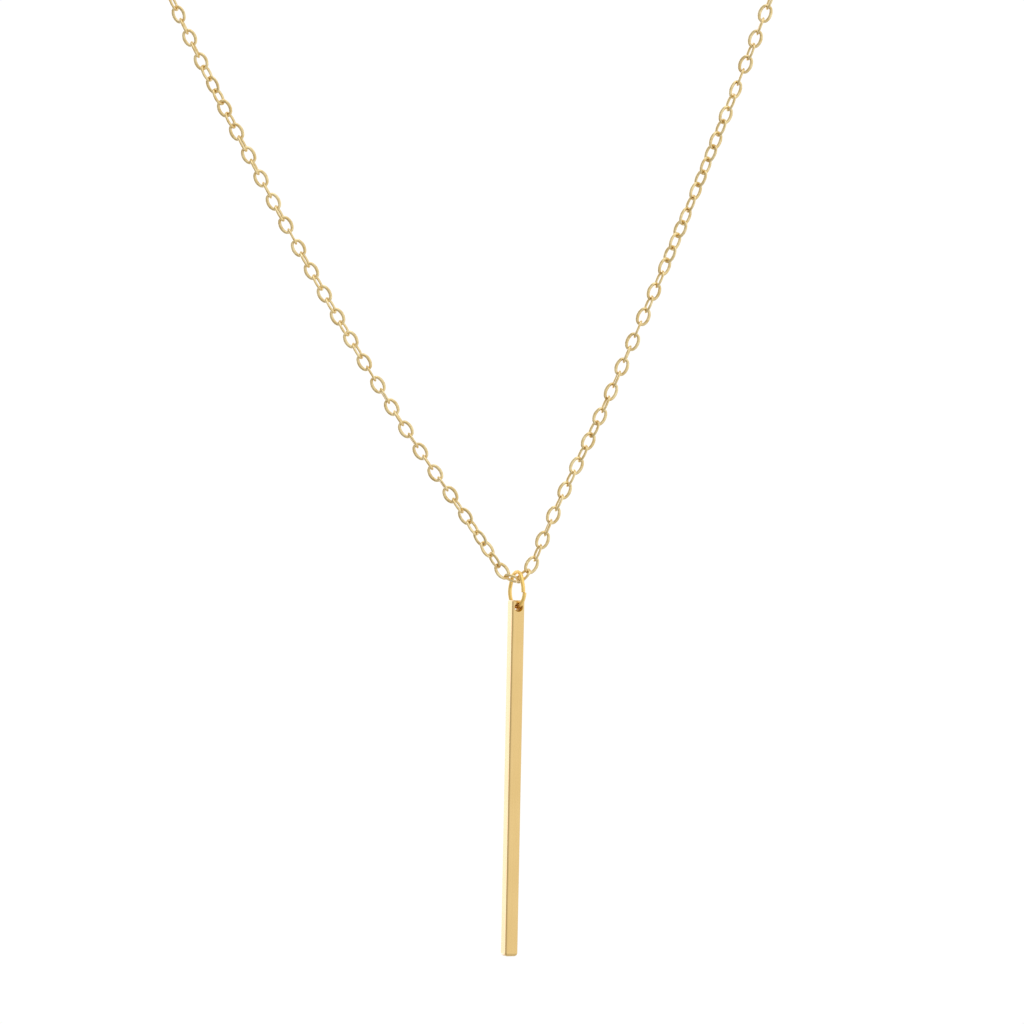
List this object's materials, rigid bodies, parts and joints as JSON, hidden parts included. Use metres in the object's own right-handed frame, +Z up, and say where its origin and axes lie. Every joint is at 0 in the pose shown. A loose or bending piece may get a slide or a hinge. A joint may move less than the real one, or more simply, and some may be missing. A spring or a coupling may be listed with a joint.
{
  "type": "bar pendant necklace",
  "caption": "Slim square bar pendant hung from an egg-shaped jump ring on a fine cable chain, a whole loop held up at the nape.",
  "frame": {"origin": "middle of the clasp at the back of the neck, where the necklace hangs", "axes": "+Z up along the hanging bar, -Y towards the viewer who faces the pendant, +X to that viewer's right"},
  "size_m": [0.0987, 0.067, 0.1485],
  "materials": {
    "polished_bar": "brass bar with polished pale gold plating, softly rounded edges",
    "ring_wire": "drawn brass wire with polished pale gold plating",
    "chain_wire": "fine drawn brass wire with polished pale gold plating",
    "clasp_metal": "polished pale gold plating"
  },
  "bodies": {
    "chain": {"chain_left": "chain_wire", "chain_right": "chain_wire", "clasp": "clasp_metal"},
    "ring": {"jump_ring": "ring_wire"},
    "bar": {"bar": "polished_bar"}
  },
  "joints": [
    {"name": "ring_slide_swing", "type": "hinge", "parent": "chain", "child": "ring", "pos_m": [0.00584, -0.064, -0.10545], "axis": [0.887, 0.4617, 0], "range_deg": [-60, 60]},
    {"name": "bar_side_swing", "type": "hinge", "parent": "ring", "child": "bar", "pos_m": [0.00584, -0.064, -0.10795], "axis": [0.4067, -0.9135, 0], "range_deg": [-90, 90]}
  ]
}
